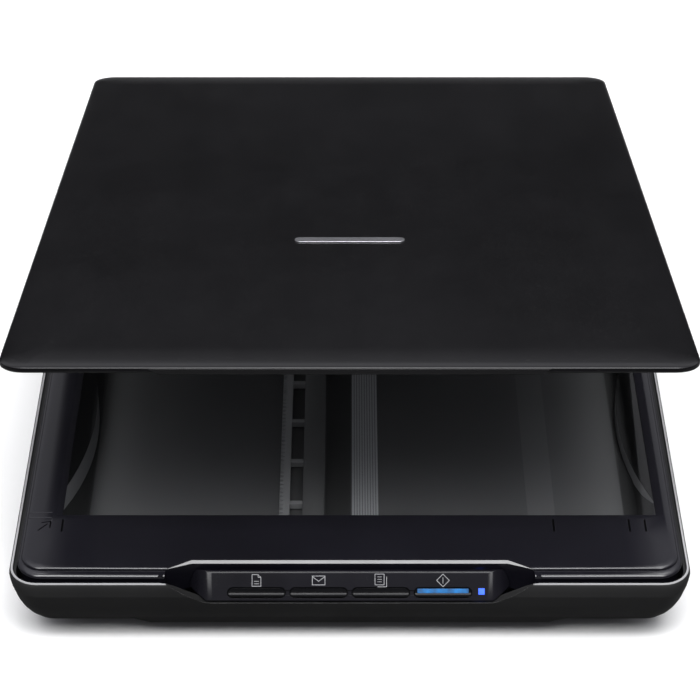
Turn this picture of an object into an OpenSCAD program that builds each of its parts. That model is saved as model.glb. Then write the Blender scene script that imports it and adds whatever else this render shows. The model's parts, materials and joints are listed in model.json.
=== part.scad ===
// Flatbed photo and document scanner with a raised lid, a glass bed and a moving contact sensor.
// Origin: centre of the footprint, on the table. +X is the right-hand side, +Y the rear, +Z up.

/* [Case] */
// Width of the lower case at its rim
case_w = 249; // [246:1:252]
// Depth of the lower case at its rim
case_d = 364; // [362:1:366]
// Height of the lower case's rim above the table
rim_z = 29.5; // [29:0.1:29.6]
// Height of the top frame's flat surface above the table
frame_z = 33; // [32.9:0.1:33.2]
// Corner radius of the lower case
case_r = 10.5; // [9:0.5:12]
// Wall thickness of the lower case
wall = 2.2; // [2:0.1:2.4]

/* [Glass bed] */
// Left edge of the frame's opening
bed_left = -107.2; // [-108:0.1:-106.8]
// Right edge of the frame's opening
bed_right = 114.3; // [113.8:0.1:114.6]
// Front edge of the frame's opening
bed_front = -145.6; // [-146:0.1:-145.2]
// Rear edge of the frame's opening
bed_rear = 155.5; // [155:0.1:156]
// Thickness of the glass
glass_t = 2.8; // [2.6:0.1:2.9]

/* [Control panel] */
// Angle that the panel leans back from upright
panel_tilt = 40; // [38:1:42]
// Distance between neighbouring buttons
button_pitch = 22.6; // [22.6:0.1:22.8]
// Length of a button's cap
button_l = 20.4; // [20:0.1:20.6]
// Height of a button's cap
button_h = 3.1; // [2.9:0.1:3.2]

/* [Lid] */
// Width of the lid
lid_w = 243; // [242:0.5:244]
// Depth of the lid
lid_d = 356.4; // [355.6:0.2:356.6]
// Angle at which the lid stands open at rest
lid_open = 13.4; // [5:0.1:20]
// Thickness of the foam sheet under the lid
mat_t = 2.2; // [1.8:0.1:2.3]

/* [Drive] */
// Module of the first two gear stages
fine_module = 0.6; // [0.6]
// Module of the last stage and the rack
coarse_module = 0.8; // [0.8]
// Teeth on the motor pinion
motor_teeth = 12; // [12]
// Teeth on the first reduction gear
first_teeth = [34, 14]; // [34, 14]
// Teeth on the second reduction gear
second_teeth = [36, 12]; // [36, 12]
// Teeth on the drive gear
drive_teeth = 22; // [22]

/* [Kickstand] */
// Width of the fold-out stand
stand_w = 58; // [50:1:58]
// Length of the fold-out stand
stand_l = 62; // [50:1:62]

/* [Hidden] */
$fn = 48;

black = "#1b1b1d";
frame_black = "#202024";
case_grey = "#2a2a2c";
inside_grey = "#3a3a3d";
steel = "#b9bcc0";
board_green = "#1f5a3a";
acetal_white = "#e6e4dd";

eps = 0.02;

// Heights that stack up from the table.
floor_z = 6;
side_floor_z = 8.5;
glass_top = frame_z - 1.4;
glass_bottom = glass_top - glass_t;
tape_t = 0.1;
seam = 0.4;
shoulder_z = rim_z + 2.2;

// The raised plane of the top frame.
plane_w = 240.4;
plane_front = -175.5;
plane_rear = 166.5;
panel_front = -172.2;

// Room for the glass under the frame.
glass_gap = 0.5;
side_slope = 2.8;
glass_left = bed_left - 6;
glass_right = bed_right + 4;
glass_front = bed_front - 12.4;
glass_rear = bed_rear + 5.5;

// Control panel frame: its middle, with local x along it, y into it and z up its face.
panel_y = -178;
panel_z = 27;
panel_t = 2;
panel_half_h = 5.6;
flat_half = 50;
end_r = 9;
button_v = -2.75;
light_v = -2.3;
button_proud = 0.6;
flange_y = panel_t + 0.05;
button_x = [for (i = [0:3]) (i - 1.5) * button_pitch];
light_x = 47.9;
light_size = 2.3;
board_y = 7.4;
panel_boss_x = 52;
lens_half = 9.3;

// Floor rail and rack.
rail_x = -14.2;
rail_w = 8.4;
rail_shoulder_z = 9.6;
rail_top_z = 11.2;
rack_x = -27;
rack_top_z = 8.4;
window_pitch = 26.1;
rack_front = -170.5;
rack_rear = 150;

// Gear train along a line across the carriage.
pressure_angle = 20;
slack = 0.1;
gear_y = -160;
drive_r = coarse_module * drive_teeth / 2;
second_small_r = coarse_module * second_teeth[1] / 2;
second_large_r = fine_module * second_teeth[0] / 2;
first_small_r = fine_module * first_teeth[1] / 2;
first_large_r = fine_module * first_teeth[0] / 2;
motor_r = fine_module * motor_teeth / 2;
drive_x = rack_x - drive_r;
second_x = drive_x - drive_r - second_small_r;
first_x = second_x - second_large_r - first_small_r;
motor_x = first_x - first_large_r - motor_r;
axle_r = 1;
run_gap = 0.05;

// Carriage and sensor.
scan_y = -145.8;
sensor_half_d = 5.4;
sensor_bottom = 17.4;
sensor_top = glass_bottom - 0.6;
sensor_left = -112;
sensor_right = 115.5;
plate_z = 12.8;
plate_t = 1.6;
motor_body_r = 8.4;
spring_x = [-96, 101];

// Flat cable.
cable_x = 6.05;
cable_w = 10.3;
cable_t = 0.28;

// Hinge.
hinge_y = 172;
hinge_z = 35;
hinge_x = 78;
hinge_pin_r = 1.25;
post_w = 12.2;
post_d = 4.6;
slot_gap = 0.1;
cover_bottom = 36.4;
lid_top = 39.2;
lid_mid_y = -3.6;
lid_front = lid_mid_y - lid_d / 2;
panel_bottom = 34;
leaf_z = 35.3;
leaf_top = 36.7;
leaf_screw_y = [157.5, 164];

// Screws.
case_screw_xy = [[-100, -163], [100, -163], [-100, 166], [100, 166]];
board_screw_xy = [[23, 143], [63, 143], [27, 166], [63, 166]];
lid_screw_xy = [[-90, -162], [0, -162], [90, -162], [-40, 161], [0, 161], [40, 161]];

// Kickstand.
stand_axis_y = 160;
stand_axis_z = 3.4;
stand_pin_r = 0.8;
keel_z = 2;
grip_r = 140;

// ---------- shapes that repeat ----------

// Corner points of a rounded rectangle, n steps to a corner.
function rounded_points(w, d, r, n = 8) = [
  for (c = [[1, 1, 0], [-1, 1, 90], [-1, -1, 180], [1, -1, 270]], i = [0:n])
    [c[0] * (w / 2 - r) + r * cos(c[2] + 90 * i / n), c[1] * (d / 2 - r) + r * sin(c[2] + 90 * i / n)]
];

module rounded_slab(w, d, r, z0, z1, y = 0, x = 0) {
  translate([x, y, z0])
    linear_extrude(z1 - z0)
      polygon(rounded_points(w, d, r));
}

module box(low, high) {
  translate(low)
    cube(high - low);
}

module rod(r, z0, z1, x = 0, y = 0) {
  translate([x, y, z0])
    cylinder(r = r, h = z1 - z0);
}

// A profile drawn in depth and height, run along X.
module along_x(points, x0, x1) {
  translate([x0, 0, 0])
    rotate([90, 0, 90])
      linear_extrude(x1 - x0)
        polygon(points);
}

// A profile drawn in width and height, run along Y.
module along_y(points, y0, y1) {
  translate([0, y1, 0])
    rotate([90, 0, 0])
      linear_extrude(y1 - y0)
        polygon(points);
}

// A screw standing on its head, shank upwards, with a cross recess.
module screw(head_r, head_h, shank_r, shank_l) {
  recess = head_r * 0.55;
  difference() {
    union() {
      cylinder(r = head_r, h = head_h);
      cylinder(r = shank_r, h = head_h + shank_l);
    }
    for (turn = [0, 90])
      rotate([0, 0, turn])
        translate([-recess, -recess / 4, -1])
          cube([2 * recess, recess / 2, 1 + head_h / 2]);
  }
}

// Involute function, in degrees.
function involute(a) = tan(a) * 180 / PI - a;

// Half the angle that a tooth spans at radius r.
function half_tooth(r, base_r, base_half) = r <= base_r ? base_half : base_half - involute(acos(base_r / r));

// Outline of a spur gear; phase turns it.
function gear_points(teeth, m, phase) =
  let (
    pitch_r = m * teeth / 2,
    base_r = pitch_r * cos(pressure_angle),
    root_r = pitch_r - 1.15 * m,
    tip_r = pitch_r + 0.75 * m,
    start_r = max(root_r + eps, base_r),
    base_half = 90 / teeth - slack / 2 / pitch_r * 180 / PI + involute(pressure_angle),
    radii = concat([root_r], [for (i = [0:4]) start_r + (tip_r - start_r) * i / 4]),
    last = len(radii) - 1
  )
  [
    for (t = [0:teeth - 1], side = [-1, 1], i = [0:last])
      let (r = radii[side < 0 ? i : last - i], a = 360 * t / teeth + phase + side * half_tooth(r, base_r, base_half))
        [r * cos(a), r * sin(a)]
  ];

module gear(teeth, m, phase, z0, z1) {
  translate([0, 0, z0])
    linear_extrude(z1 - z0)
      polygon(gear_points(teeth, m, phase));
}

// ---------- lower case ----------

module case_level(z, in_x, in_y, r, x = 0) {
  rounded_slab(case_w - 2 * in_x, case_d - 2 * in_y, r, z, z + eps, 0, x);
}

// Height of the case's bulging wall, and its inset at the sides and at the front, from the rim down.
case_profile = [
  [rim_z - eps, 0.7, 1.9], [28.9, 0.3, 1.3], [28, 0, 0.8], [26.5, 0.3, 0.3], [24.6, 0.8, 0], [19, 2.3, 0.8],
  [15.2, 3.6, 2.1], [11.8, 5, 3.9], [8.8, 6.9, 6.1], [6.4, 9.6, 8.9], [4.9, 12.4, 11.4], [4, 15.4, 14]
];

module case_outer() {
  hull()
    for (p = case_profile)
      case_level(p[0], p[1], p[2], case_r - p[1] / 4);
}

// The deeper middle of the case.
module case_keel() {
  hull() {
    rounded_slab(168, 354.8, 2, 11, 11 + eps);
    rounded_slab(150, 353.2, 2, 7.6, 7.6 + eps);
    rounded_slab(142, 332, 2, keel_z, keel_z + eps);
  }
}

module case_cavity() {
  hull() {
    case_level(rim_z + 1, wall, wall, case_r - wall);
    case_level(20, wall + 1.6, wall + 1.5, case_r - wall);
    case_level(12.5, wall + 4.5, wall + 4.2, case_r - wall);
    case_level(9, wall + 7.8, wall + 7, case_r - wall);
    case_level(floor_z, 19.5, 16, 5, 2.5);
  }
}

// Keeps the left (-1) or right (+1) grip hollow's round wall.
module grip_round(side, r, z0, z1) {
  apex = side < 0 ? -102.3 : 108.2;
  rod(r, z0, z1, apex + side * grip_r, -63);
}

// Right half of the dip in the front wall, from the middle outwards.
dip = [[50.6, 21.4], [52.4, 21.6], [54, 22.2], [65.2, 28.7], [66.6, 29.2], [68.4, rim_z - 0.1], [68.4, rim_z + 5]];

module control_opening() {
  along_y(concat(dip, [for (i = [len(dip) - 1:-1:0]) [-dip[i][0], dip[i][1]]]), -case_d, -168);
}

module base_case() {
  color(case_grey)
    difference() {
      union() {
        difference() {
          union() {
            case_outer();
            case_keel();
          }
          case_cavity();
          box([-70, -171, floor_z], [70, 171, 12.5]);
          box([-70, -173, 8.2], [70, 173, 12.5]);
        }
        intersection() {
          case_outer();
          union() {
            intersection() {
              grip_round(-1, grip_r, floor_z - 1, 16.8);
              box([-121, -150, 0], [-100, 60, 20]);
            }
            intersection() {
              grip_round(1, grip_r, floor_z - 1, 13.6);
              box([100, -150, 0], [121, 60, 20]);
            }
          }
        }
        along_y([[69.5, floor_z - 1], [69.5, floor_z], [79.8, side_floor_z], [112, side_floor_z], [112, floor_z - 1]],
          -166, 166);
        for (p = case_screw_xy)
          rod(4.6, 4.2, 12, p[0], p[1]);
        for (p = board_screw_xy)
          rod(2.6, floor_z - 1, 8, p[0], p[1]);
      }
      intersection() {
        grip_round(-1, grip_r - 2, 0, 14.8);
        box([-117.8, -140, -1], [-90, 50, 20]);
      }
      intersection() {
        grip_round(1, grip_r - 2, 0, 11.5);
        box([90, -140, -1], [117.8, 50, 20]);
      }
      control_opening();
      box([-46, -179.9, 20.7], [46, -170, 22.1]);
      rounded_slab(case_w - 2.6, case_d - 4.6, case_r - 1, rim_z - 1.2, rim_z + 1);
      box([51.2, 164, 9.3], [60.8, case_d, 12.8]);
      for (p = case_screw_xy) {
        rod(1.7, 0, 13, p[0], p[1]);
        rod(3.3, 0, 6.4, p[0], p[1]);
      }
      for (p = board_screw_xy)
        rod(1.02, floor_z + 0.4, 9, p[0], p[1]);
      box([-stand_w / 2 - 0.6, stand_axis_y - stand_l - 0.8, 0], [stand_w / 2 + 0.6, stand_axis_y + 3.4, 4.9]);
      for (side = [-1, 1])
        translate([side * (stand_w / 2 + 2), stand_axis_y, stand_axis_z])
          rotate([0, 90, 0])
            cylinder(r = stand_pin_r, h = 5, center = true);
      box([-23.6, -169, floor_z - 1], [-18.6, 90, floor_z + 1]);
      for (x = [-92, 92], y = [-148, 148])
        rod(6.1, 0, 4.6, x, y);
    }
}

module case_screws() {
  color(steel)
    for (p = case_screw_xy)
      translate([p[0], p[1], 4.2])
        screw(2.9, 2.1, 1.3, 15);
}

module rubber_feet() {
  color(black)
    for (x = [-92, 92], y = [-148, 148]) {
      rod(6, 0.6, 4.6, x, y);
      rod(5.2, 0, 0.6, x, y);
    }
}

module kickstand() {
  color(case_grey)
    difference() {
      union() {
        translate([0, stand_axis_y - stand_l / 2, 2.2])
          linear_extrude(2.3)
            polygon(rounded_points(stand_w, stand_l, 4));
        translate([0, stand_axis_y, stand_axis_z])
          rotate([0, 90, 0])
            cylinder(r = 1.25, h = stand_w, center = true);
      }
      box([-stand_w / 2 + 8, stand_axis_y - stand_l + 9, 0], [stand_w / 2 - 8, stand_axis_y - 12, 6]);
      translate([0, stand_axis_y, stand_axis_z])
        rotate([0, 90, 0])
          cylinder(r = stand_pin_r + run_gap, h = stand_w + 2, center = true);
      box([-stand_w / 2 + 6, stand_axis_y - 1.4, 0], [stand_w / 2 - 6, stand_axis_y + 3, 6]);
    }
}

module kickstand_pins() {
  color(steel)
    for (side = [-1, 1])
      translate([side * (stand_w / 2 - 0.8), stand_axis_y, stand_axis_z])
        rotate([0, 90, 0])
          cylinder(r = stand_pin_r, h = 9, center = true);
}

// ---------- top frame and bed ----------

function recess_points(gap) = [
  [-68.5 + gap, -190], [-67 + gap, plane_front], [-57.5 + gap, panel_front - gap],
  [57.5 - gap, panel_front - gap], [67 - gap, plane_front], [68.5 - gap, -190]
];

module panel_recess(gap = 0) {
  linear_extrude(60)
    polygon(recess_points(gap));
}

// Rounds the raised plane's edge over the control panel.
module recess_flare() {
  hull()
    for (p = [[frame_z - 0.7, 0], [frame_z - 0.35, 0.12], [frame_z - 0.14, 0.4], [frame_z + eps, 1.1]])
      translate([0, 0, p[0]])
        linear_extrude(eps)
          polygon([
            [-67, -190], [-67, plane_front], [-57.5, panel_front + p[1]], [57.5, panel_front + p[1]],
            [67, plane_front], [67, -190]
          ]);
}

module hinge_slot(grow, z0, z1) {
  half_w = post_w / 2 + grow;
  half_d = post_d / 2 + grow;
  for (side = [-1, 1])
    box([side * hinge_x - half_w, hinge_y - half_d, z0], [side * hinge_x + half_w, hinge_y + half_d, z1]);
}

// Raised plane with a rounded edge.
module frame_plane() {
  plane_d = plane_rear - plane_front;
  hull()
    for (p = [
      [glass_top + tape_t, 0], [frame_z - 0.9, 0], [frame_z - 0.55, 0.15], [frame_z - 0.28, 0.5],
      [frame_z - 0.11, 1.1], [frame_z - eps, 2.2]
    ])
      rounded_slab(plane_w - 2 * p[1], plane_d - 2 * p[1], 8.5 - p[1] / 2, p[0], p[0] + eps, plane_front + plane_d / 2);
}

// Rounded step around the raised plane, narrower at the sides than at the front and rear.
module frame_shoulder() {
  hull()
    for (p = [
      [rim_z + seam, 0.3], [rim_z + seam + 0.3, 0], [shoulder_z - 1, 0.1], [shoulder_z - 0.62, 0.45],
      [shoulder_z - 0.32, 1], [shoulder_z - 0.12, 1.7], [shoulder_z - eps, 2.5]
    ])
      rounded_slab(case_w - 6 - p[1], case_d - 7.4 - 2 * p[1], case_r - 1 - p[1] / 3, p[0], p[0] + eps);
}

// The bed opening: square at the front and rear, sloped at the sides.
module bed_opening() {
  left = bed_left - side_slope;
  right = bed_right + side_slope;
  edge_z = glass_top + 0.5;
  along_y([
    [bed_left, 20], [bed_right, 20], [bed_right, edge_z], [right, frame_z], [right, 40],
    [left, 40], [left, frame_z], [bed_left, edge_z]
  ], bed_front, bed_rear);
}

// Grooves that show where a page's edges go, and an arrow at the corner where a page starts.
module paper_marks() {
  top = frame_z + 1;
  cut_z = frame_z - 0.25;
  for (x = [bed_left + 0.6, 75.6, 103.7, 109.6])
    box([x - 0.35, -155, cut_z], [x + 0.35, -147.9, top]);
  translate([-113.2, -151.8, cut_z]) {
    rotate([0, 0, 50])
      box([-3.4, -0.25, 0], [1.6, 0.25, 2]);
    rotate([0, 0, 50])
      for (side = [-1, 1])
        translate([3.4, 0, 0])
          rotate([0, 0, 180 + side * 38])
            box([0, -0.25, 0], [3.6, 0.25, 2]);
  }
}

// Walls that close the recess beside the control panel.
module recess_walls() {
  for (side = [-1, 1])
    translate([0, 0, 21])
      linear_extrude(shoulder_z - 0.2 - 21)
        polygon([
          [side * 56, panel_front], [side * 57.5, panel_front], [side * 67, plane_front], [side * 67.9, -178.4],
          [side * 69.6, -178.4], [side * 68.4, -174.4], [side * 58, -170.7], [side * 56, -170.7]
        ]);
}

module top_frame() {
  color(frame_black)
    difference() {
      union() {
        frame_plane();
        frame_shoulder();
        recess_walls();
        difference() {
          rounded_slab(case_w - 8, case_d - 8.2, case_r - 2, 26.6, rim_z + seam);
          rounded_slab(case_w - 10.4, case_d - 10.4, case_r - 5, 26, rim_z);
        }
        for (p = case_screw_xy)
          rod(3.4, 12.1, shoulder_z, p[0], p[1]);
        difference() {
          hinge_slot(1.7, 15, shoulder_z);
          box([-case_w / 2, 175.2, 10], [case_w / 2, 185, 26.6]);
        }
      }
      bed_opening();
      paper_marks();
      box([glass_left - glass_gap, glass_front - glass_gap, 20],
        [glass_right + glass_gap, glass_rear + glass_gap, glass_top + tape_t]);
      panel_recess();
      recess_flare();
      hinge_slot(slot_gap, 10, 40);
      for (p = case_screw_xy)
        rod(1.3, 12, 22, p[0], p[1]);
    }
}

module platen_glass() {
  color("#9fb4b8", 0.35)
    box([glass_left, glass_front, glass_bottom], [glass_right, glass_rear, glass_top]);
}

module glass_tape() {
  color(black)
    difference() {
      box([glass_left, glass_front, glass_top], [glass_right, glass_rear, glass_top + tape_t]);
      box([bed_left, bed_front, glass_top - 1], [bed_right, bed_rear, glass_top + 1]);
    }
}

module calibration_strip() {
  color("white")
    box([-103.5, -151, glass_bottom - 0.12], [110.5, -146.6, glass_bottom]);
}

// ---------- control panel ----------

module panel_pose() {
  translate([0, panel_y, panel_z])
    rotate([-panel_tilt, 0, 0])
      children();
}

// A plate in the panel's local frame, from depth y0 to y1.
module panel_plate(points, y0, y1) {
  translate([0, y1, 0])
    rotate([90, 0, 0])
      linear_extrude(y1 - y0)
        polygon(points);
}

module panel_stadium(w, h, x, y0, y1) {
  translate([x, 0, button_v])
    panel_plate(rounded_points(w, h, h / 2 - eps, 6), y0, y1);
}

module panel_rod(r, x, v, y0, y1) {
  translate([x, y0, v])
    rotate([-90, 0, 0])
      cylinder(r = r, h = y1 - y0);
}

// Rounds the panel's long top edge.
module panel_brow() {
  brow_r = 1.4;
  along_x(concat(
    [[-5, -panel_half_h], [-5, panel_half_h - brow_r]],
    [for (a = [0:15:90]) [brow_r * (1 - cos(a)), panel_half_h - brow_r * (1 - sin(a))]],
    [[12, panel_half_h], [12, -panel_half_h]]
  ), -70, 70);
}

// Half of the panel's section: flat, then curving back at the end.
function panel_section(r, y) = [for (a = [0:10:70]) [flat_half + r * sin(a), y + r * (1 - cos(a))]];

module panel_shell() {
  outer = panel_section(end_r, 0);
  inner = panel_section(end_r - panel_t, panel_t);
  translate([0, 0, -panel_half_h])
    linear_extrude(2 * panel_half_h)
      polygon(concat(
        outer, [for (i = [len(inner) - 1:-1:0]) inner[i]],
        [for (p = inner) [-p[0], p[1]]], [for (i = [len(outer) - 1:-1:0]) [-outer[i][0], outer[i][1]]]
      ));
}

module control_panel() {
  color(frame_black)
    difference() {
      union() {
        intersection() {
          panel_pose()
            intersection() {
              panel_shell();
              panel_brow();
              panel_plate([
                [-52.2, -panel_half_h], [52.2, -panel_half_h], [66.2, panel_half_h], [-66.2, panel_half_h]
              ], -1, 9);
            }
          panel_recess(0.5);
        }
        panel_pose()
          for (side = [-1, 1])
            panel_rod(1.9, side * panel_boss_x, -1.5, panel_t - eps, board_y);
      }
      box([-80, -190, 0], [80, -160, 22.3]);
      panel_pose() {
        for (x = button_x)
          panel_stadium(button_l + 0.9, button_h + 0.9, x, -1, 4);
        box([button_x[0], -1, button_v - 0.9], [button_x[3], 0.7, button_v + 0.9]);
        translate([light_x, 0, light_v])
          box([-light_size / 2, -1, -light_size / 2], [light_size / 2, 4, light_size / 2]);
        for (side = [-1, 1])
          panel_rod(0.8, side * panel_boss_x, -1.5, 4, 9);
      }
    }
}

module status_light() {
  color("#3b82ff")
    panel_pose()
      translate([light_x, 0, light_v])
        box([-light_size / 2 + 0.03, -0.15, -light_size / 2 + 0.03],
          [light_size / 2 - 0.03, 6.6, light_size / 2 - 0.03]);
}

module button_board() {
  color(board_green)
    difference() {
      panel_pose()
        box([-54, board_y, -5], [54, board_y + 1, 4]);
      panel_pose()
        for (side = [-1, 1])
          panel_rod(0.9, side * panel_boss_x, -1.5, 6, 10);
    }
}

module button_board_screws() {
  color(steel)
    panel_pose()
      for (side = [-1, 1])
        translate([side * panel_boss_x, board_y + 1.9, -1.5])
          rotate([90, 0, 0])
            screw(1.8, 0.9, 0.78, 3.6);
}

module tact_switches() {
  color("#2e2e30")
    panel_pose()
      for (x = button_x) {
        box([x - 2.4, board_y - 2.2, button_v - 1.9], [x + 2.4, board_y, button_v + 1.9]);
        panel_rod(1.1, x, button_v, board_y - 2.8, board_y - 2.2);
      }
}

// Cap section, depth against height: the upper half sits back, the lower half stands proud.
cap_section = [
  [flange_y, button_h / 2], [0.6, button_h / 2], [1, 0.1], [-button_proud + 0.2, -0.05],
  [-button_proud + 0.05, -0.6], [-button_proud, -0.95], [-button_proud + 0.1, -1.25],
  [-0.15, -button_h / 2], [flange_y, -button_h / 2]
];

module button(x) {
  panel_pose() {
    intersection() {
      panel_stadium(button_l, button_h, x, -button_proud, flange_y);
      translate([0, 0, button_v])
        along_x(cap_section, x - button_l, x + button_l);
    }
    panel_stadium(button_l + 1.8, button_h + 1.6, x, flange_y, flange_y + 0.8);
    panel_rod(1.3, x, button_v, flange_y + 0.8, board_y - 3.3);
  }
}

module button_document() {
  color(black)
    button(button_x[0]);
}

module button_email() {
  color(black)
    button(button_x[1]);
}

module button_copy() {
  color(black)
    button(button_x[2]);
}

module button_start() {
  color(black)
    difference() {
      button(button_x[3]);
      panel_pose()
        translate([button_x[3], 0, button_v])
          box([-lens_half - 0.05, -2, -0.2], [lens_half + 0.05, 1.2, 2]);
    }
}

module start_button_lens() {
  color("#1c6fc4")
    panel_pose()
      translate([button_x[3], 0, button_v])
        box([-lens_half, -0.1, -0.15], [lens_half, 1.15, button_h / 2 - 0.1]);
}

// ---------- rail, rack and cable on the floor ----------

module rail_profile(grow, y0, y1) {
  half_w = rail_w / 2 + grow;
  crown = rail_top_z - rail_shoulder_z;
  crown_r = (pow(rail_w / 2, 2) + pow(crown, 2)) / (2 * crown);
  intersection() {
    box([rail_x - half_w, y0, floor_z], [rail_x + half_w, y1, rail_top_z + 1]);
    union() {
      box([rail_x - half_w, y0, floor_z], [rail_x + half_w, y1, rail_shoulder_z]);
      translate([rail_x, y1, rail_top_z - crown_r])
        rotate([90, 0, 0])
          cylinder(r = crown_r + grow, h = y1 - y0, $fn = 96);
    }
  }
}

module guide_rail() {
  color(inside_grey)
    rail_profile(0, -170.5, 170);
}

// One straight-sided tooth pointing to -X, centred at y.
function rack_tooth(y) =
  let (
    half = PI * coarse_module / 4 - slack / 2,
    tip = 0.75 * coarse_module,
    root = 1.15 * coarse_module,
    lean = tan(pressure_angle)
  )
  [
    [rack_x + root, y - half - root * lean], [rack_x - tip, y - half + tip * lean],
    [rack_x - tip, y + half - tip * lean], [rack_x + root, y + half + root * lean]
  ];

module gear_rack() {
  tooth_pitch = PI * coarse_module;
  first = ceil((rack_front + 1.5 - gear_y) / tooth_pitch - 0.5);
  last = floor((rack_rear - 1.5 - gear_y) / tooth_pitch - 0.5);
  bar_x = rack_x + 3.5;
  outline = concat(
    [[bar_x, rack_front], [rack_x + 1.15 * coarse_module, rack_front]],
    [for (k = [first:last], p = rack_tooth(gear_y + (k + 0.5) * tooth_pitch)) p],
    [[rack_x + 1.15 * coarse_module, rack_rear], [bar_x, rack_rear]]
  );
  color(inside_grey) {
    translate([0, 0, floor_z])
      linear_extrude(rack_top_z - floor_z)
        polygon(outline);
    for (k = [0:9])
      box([bar_x - eps, -161.7 + k * window_pitch, floor_z],
        [rail_x - rail_w / 2 - 0.1, -159.5 + k * window_pitch, rack_top_z]);
  }
}

module ribbon_cable() {
  fold_y = 162.8;
  half_w = cable_w / 2;
  lift = cable_t + 0.04;
  color("#8d8f94") {
    box([cable_x - half_w, -157, floor_z], [cable_x + half_w, fold_y + half_w, floor_z + cable_t]);
    along_y([
      [cable_x - half_w, floor_z + cable_t], [12, floor_z + cable_t], [18.2, 10.2], [19, 10.2],
      [19, 10.2 + lift], [18, 10.2 + lift], [11.8, floor_z + cable_t + lift], [cable_x - half_w, floor_z + cable_t + lift]
    ], fold_y - half_w, fold_y + half_w);
  }
}

module ribbon_connector() {
  color(acetal_white)
    difference() {
      box([18.6, 156.6, 9.6], [23, 169, 11.8]);
      box([18, 157.4, 10.1], [19.2, 168.2, 10.7]);
    }
}

module main_board() {
  color(board_green)
    difference() {
      box([18, 138, 8], [68, 170, 9.6]);
      for (p = board_screw_xy)
        rod(1.3, 7, 11, p[0], p[1]);
    }
}

module board_chips() {
  color("#222224") {
    box([32, 145, 9.6], [44, 157, 10.9]);
    box([48, 147, 9.6], [56, 152, 10.7]);
    box([30, 160, 9.6], [35, 164, 10.8]);
    for (k = [0:4])
      box([38 + 2.6 * k, 160.5, 9.6], [39.2 + 2.6 * k, 162.6, 10.3]);
  }
}

module usb_socket() {
  color(steel)
    difference() {
      box([52, 165.4, 9.6], [60, 177, 12.4]);
      box([52.5, 170, 10.1], [59.5, 178, 11.9]);
    }
}

module main_board_screws() {
  color(steel)
    for (p = board_screw_xy)
      translate([p[0], p[1], 10.8])
        rotate([180, 0, 0])
          screw(2.1, 1.2, 1, 3);
}

// ---------- carriage ----------

module carriage_frame() {
  color(black)
    difference() {
      union() {
        box([-101.5, scan_y - 6, plate_z], [107.4, scan_y + 6, plate_z + plate_t]);
        box([-92, -171, plate_z], [-6, scan_y + 6, plate_z + plate_t]);
        for (x = [-94, 86], side = [-1, 1])
          box([x, scan_y + side * 6.3 - 0.7, plate_z], [x + 8, scan_y + side * 6.3 + 0.7, 24]);
        rod(motor_body_r + 1.5, plate_z, 17.2, motor_x, gear_y);
        box([motor_x - 13, gear_y - 2, plate_z], [motor_x - 8, gear_y + 2, 17.2]);
        box([motor_x + 8, gear_y - 2, plate_z], [motor_x + 13, gear_y + 2, 17.2]);
      }
      rod(motor_body_r, plate_z + plate_t, 30, motor_x, gear_y);
      rod(2.4, 0, 20, motor_x, gear_y);
      for (x = [drive_x, second_x, first_x])
        rod(axle_r, 0, 20, x, gear_y);
      for (side = [-1, 1])
        rod(0.75, 14, 18, motor_x + side * 11.4, gear_y);
      box([sensor_left, scan_y - sensor_half_d - 0.2, 16.4], [sensor_right, scan_y + sensor_half_d + 0.2, 30]);
    }
}

module rail_slider() {
  color(acetal_white)
    difference() {
      box([rail_x - 6.2, -168, 8.9], [rail_x + 6.2, -142, plate_z]);
      rail_profile(0.06, -170, -140);
    }
}

module drive_motor() {
  color(steel)
    difference() {
      union() {
        rod(motor_body_r, plate_z + plate_t, 25.6, motor_x, gear_y);
        rod(2.3, plate_z + 0.2, plate_z + plate_t, motor_x, gear_y);
        difference() {
          box([motor_x - 12.8, gear_y - 2, 17.2], [motor_x + 12.8, gear_y + 2, 18]);
          for (side = [-1, 1])
            rod(0.9, 17, 19, motor_x + side * 11.4, gear_y);
        }
      }
      rod(0.8 + run_gap, 12, 17, motor_x, gear_y);
    }
}

module motor_screws() {
  color(steel)
    for (side = [-1, 1])
      translate([motor_x + side * 11.4, gear_y, 19])
        rotate([180, 0, 0])
          screw(1.5, 1, 0.74, 3.4);
}

module gear_axles() {
  color(steel)
    for (p = [[drive_x, 6.4], [second_x, 6.1], [first_x, 8.4]]) {
      rod(axle_r, p[1], plate_z + plate_t, p[0], gear_y);
      rod(1.7, p[1], p[1] + 0.3, p[0], gear_y);
    }
}

module gear_body(x, bore_r = axle_r + run_gap) {
  translate([x, gear_y, 0])
    difference() {
      children();
      rod(bore_r, 0, 20);
    }
}

module drive_gear() {
  color(acetal_white)
    gear_body(drive_x)
      union() {
        gear(drive_teeth, coarse_module, 0, 6.8, 8.4);
        rod(1.9, 8.4, 12.6);
      }
}

module second_reduction_gear() {
  color(acetal_white)
    gear_body(second_x)
      union() {
        gear(second_teeth[1], coarse_module, 180 / second_teeth[1], 6.5, 9);
        gear(second_teeth[0], fine_module, 0, 9, 10.4);
        rod(2.4, 10.4, 12.6);
      }
}

module first_reduction_gear() {
  color(acetal_white)
    gear_body(first_x)
      union() {
        gear(first_teeth[1], fine_module, 180 / first_teeth[1], 8.8, 10.8);
        gear(first_teeth[0], fine_module, 0, 10.8, 12.2);
        rod(2.4, 12.2, 12.6);
      }
}

module motor_pinion() {
  color("#c9a24a")
    gear_body(motor_x, 0.8)
      gear(motor_teeth, fine_module, 180 / motor_teeth, 10.6, 12.4);
}

module motor_shaft() {
  color(steel)
    rod(0.8, 10.3, 16.8, motor_x, gear_y);
}

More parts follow.
